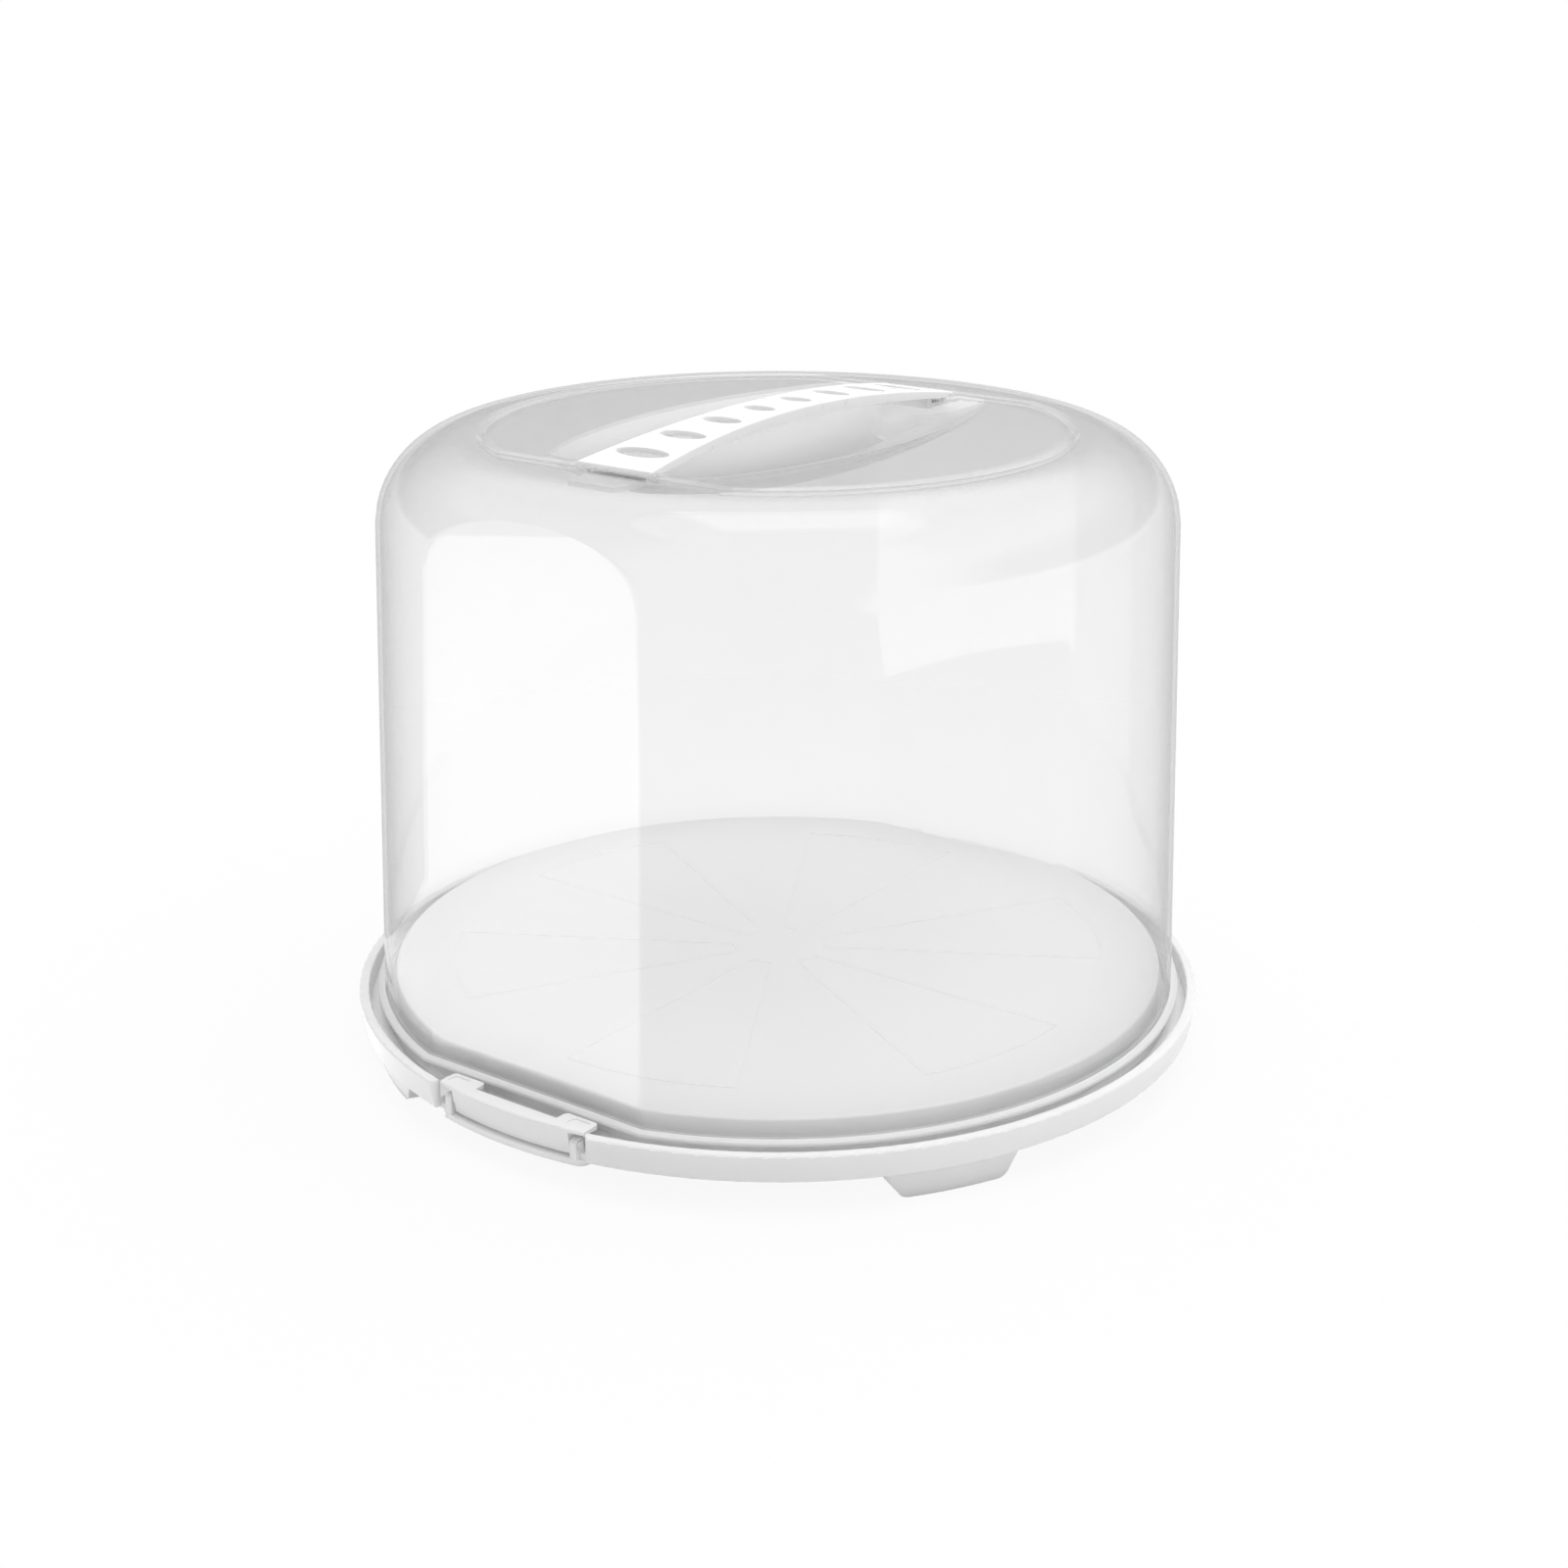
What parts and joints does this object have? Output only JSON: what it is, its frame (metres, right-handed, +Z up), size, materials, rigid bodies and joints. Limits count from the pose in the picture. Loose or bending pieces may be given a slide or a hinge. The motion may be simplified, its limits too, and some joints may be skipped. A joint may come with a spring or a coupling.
{
  "type": "cake carrier",
  "caption": "Round cake carrier: low tray on feet with a slice guide, clear drum-shaped hood with an arched carrying handle, and two hinged latches that hold the hood.",
  "frame": {"origin": "centre of the footprint on the table, midway between the two latches", "axes": "+Z up, the axis of the round tray; the latches face -Y and +Y and the handle lies along Y"},
  "size_m": [0.3546, 0.3486, 0.2645],
  "materials": {
    "white_tray": "satin moulded polypropylene, white",
    "clear_hood": "clear moulded polypropylene, glossy",
    "white_handle": "satin moulded polypropylene, bright white",
    "milky_latch": "milky translucent polypropylene"
  },
  "bodies": {
    "tray": {"base_tray": "white_tray"},
    "hood": {"hood": "clear_hood", "hood_catches": "clear_hood", "handle": "white_handle"},
    "front_latch": {"front_latch": "milky_latch"},
    "rear_latch": {"rear_latch": "milky_latch"}
  },
  "joints": [
    {"name": "hood_lift", "type": "slide", "parent": "tray", "child": "hood", "axis": [0, 0, 1], "range_m": [0, 0.27]},
    {"name": "front_latch_pivot", "type": "hinge", "parent": "tray", "child": "front_latch", "pos_m": [0, -0.1689, 0.0178], "axis": [1, 0, 0], "range_deg": [-18, 100]},
    {"name": "rear_latch_pivot", "type": "hinge", "parent": "tray", "child": "rear_latch", "pos_m": [0, 0.1689, 0.0178], "axis": [-1, 0, 0], "range_deg": [-18, 100]}
  ]
}
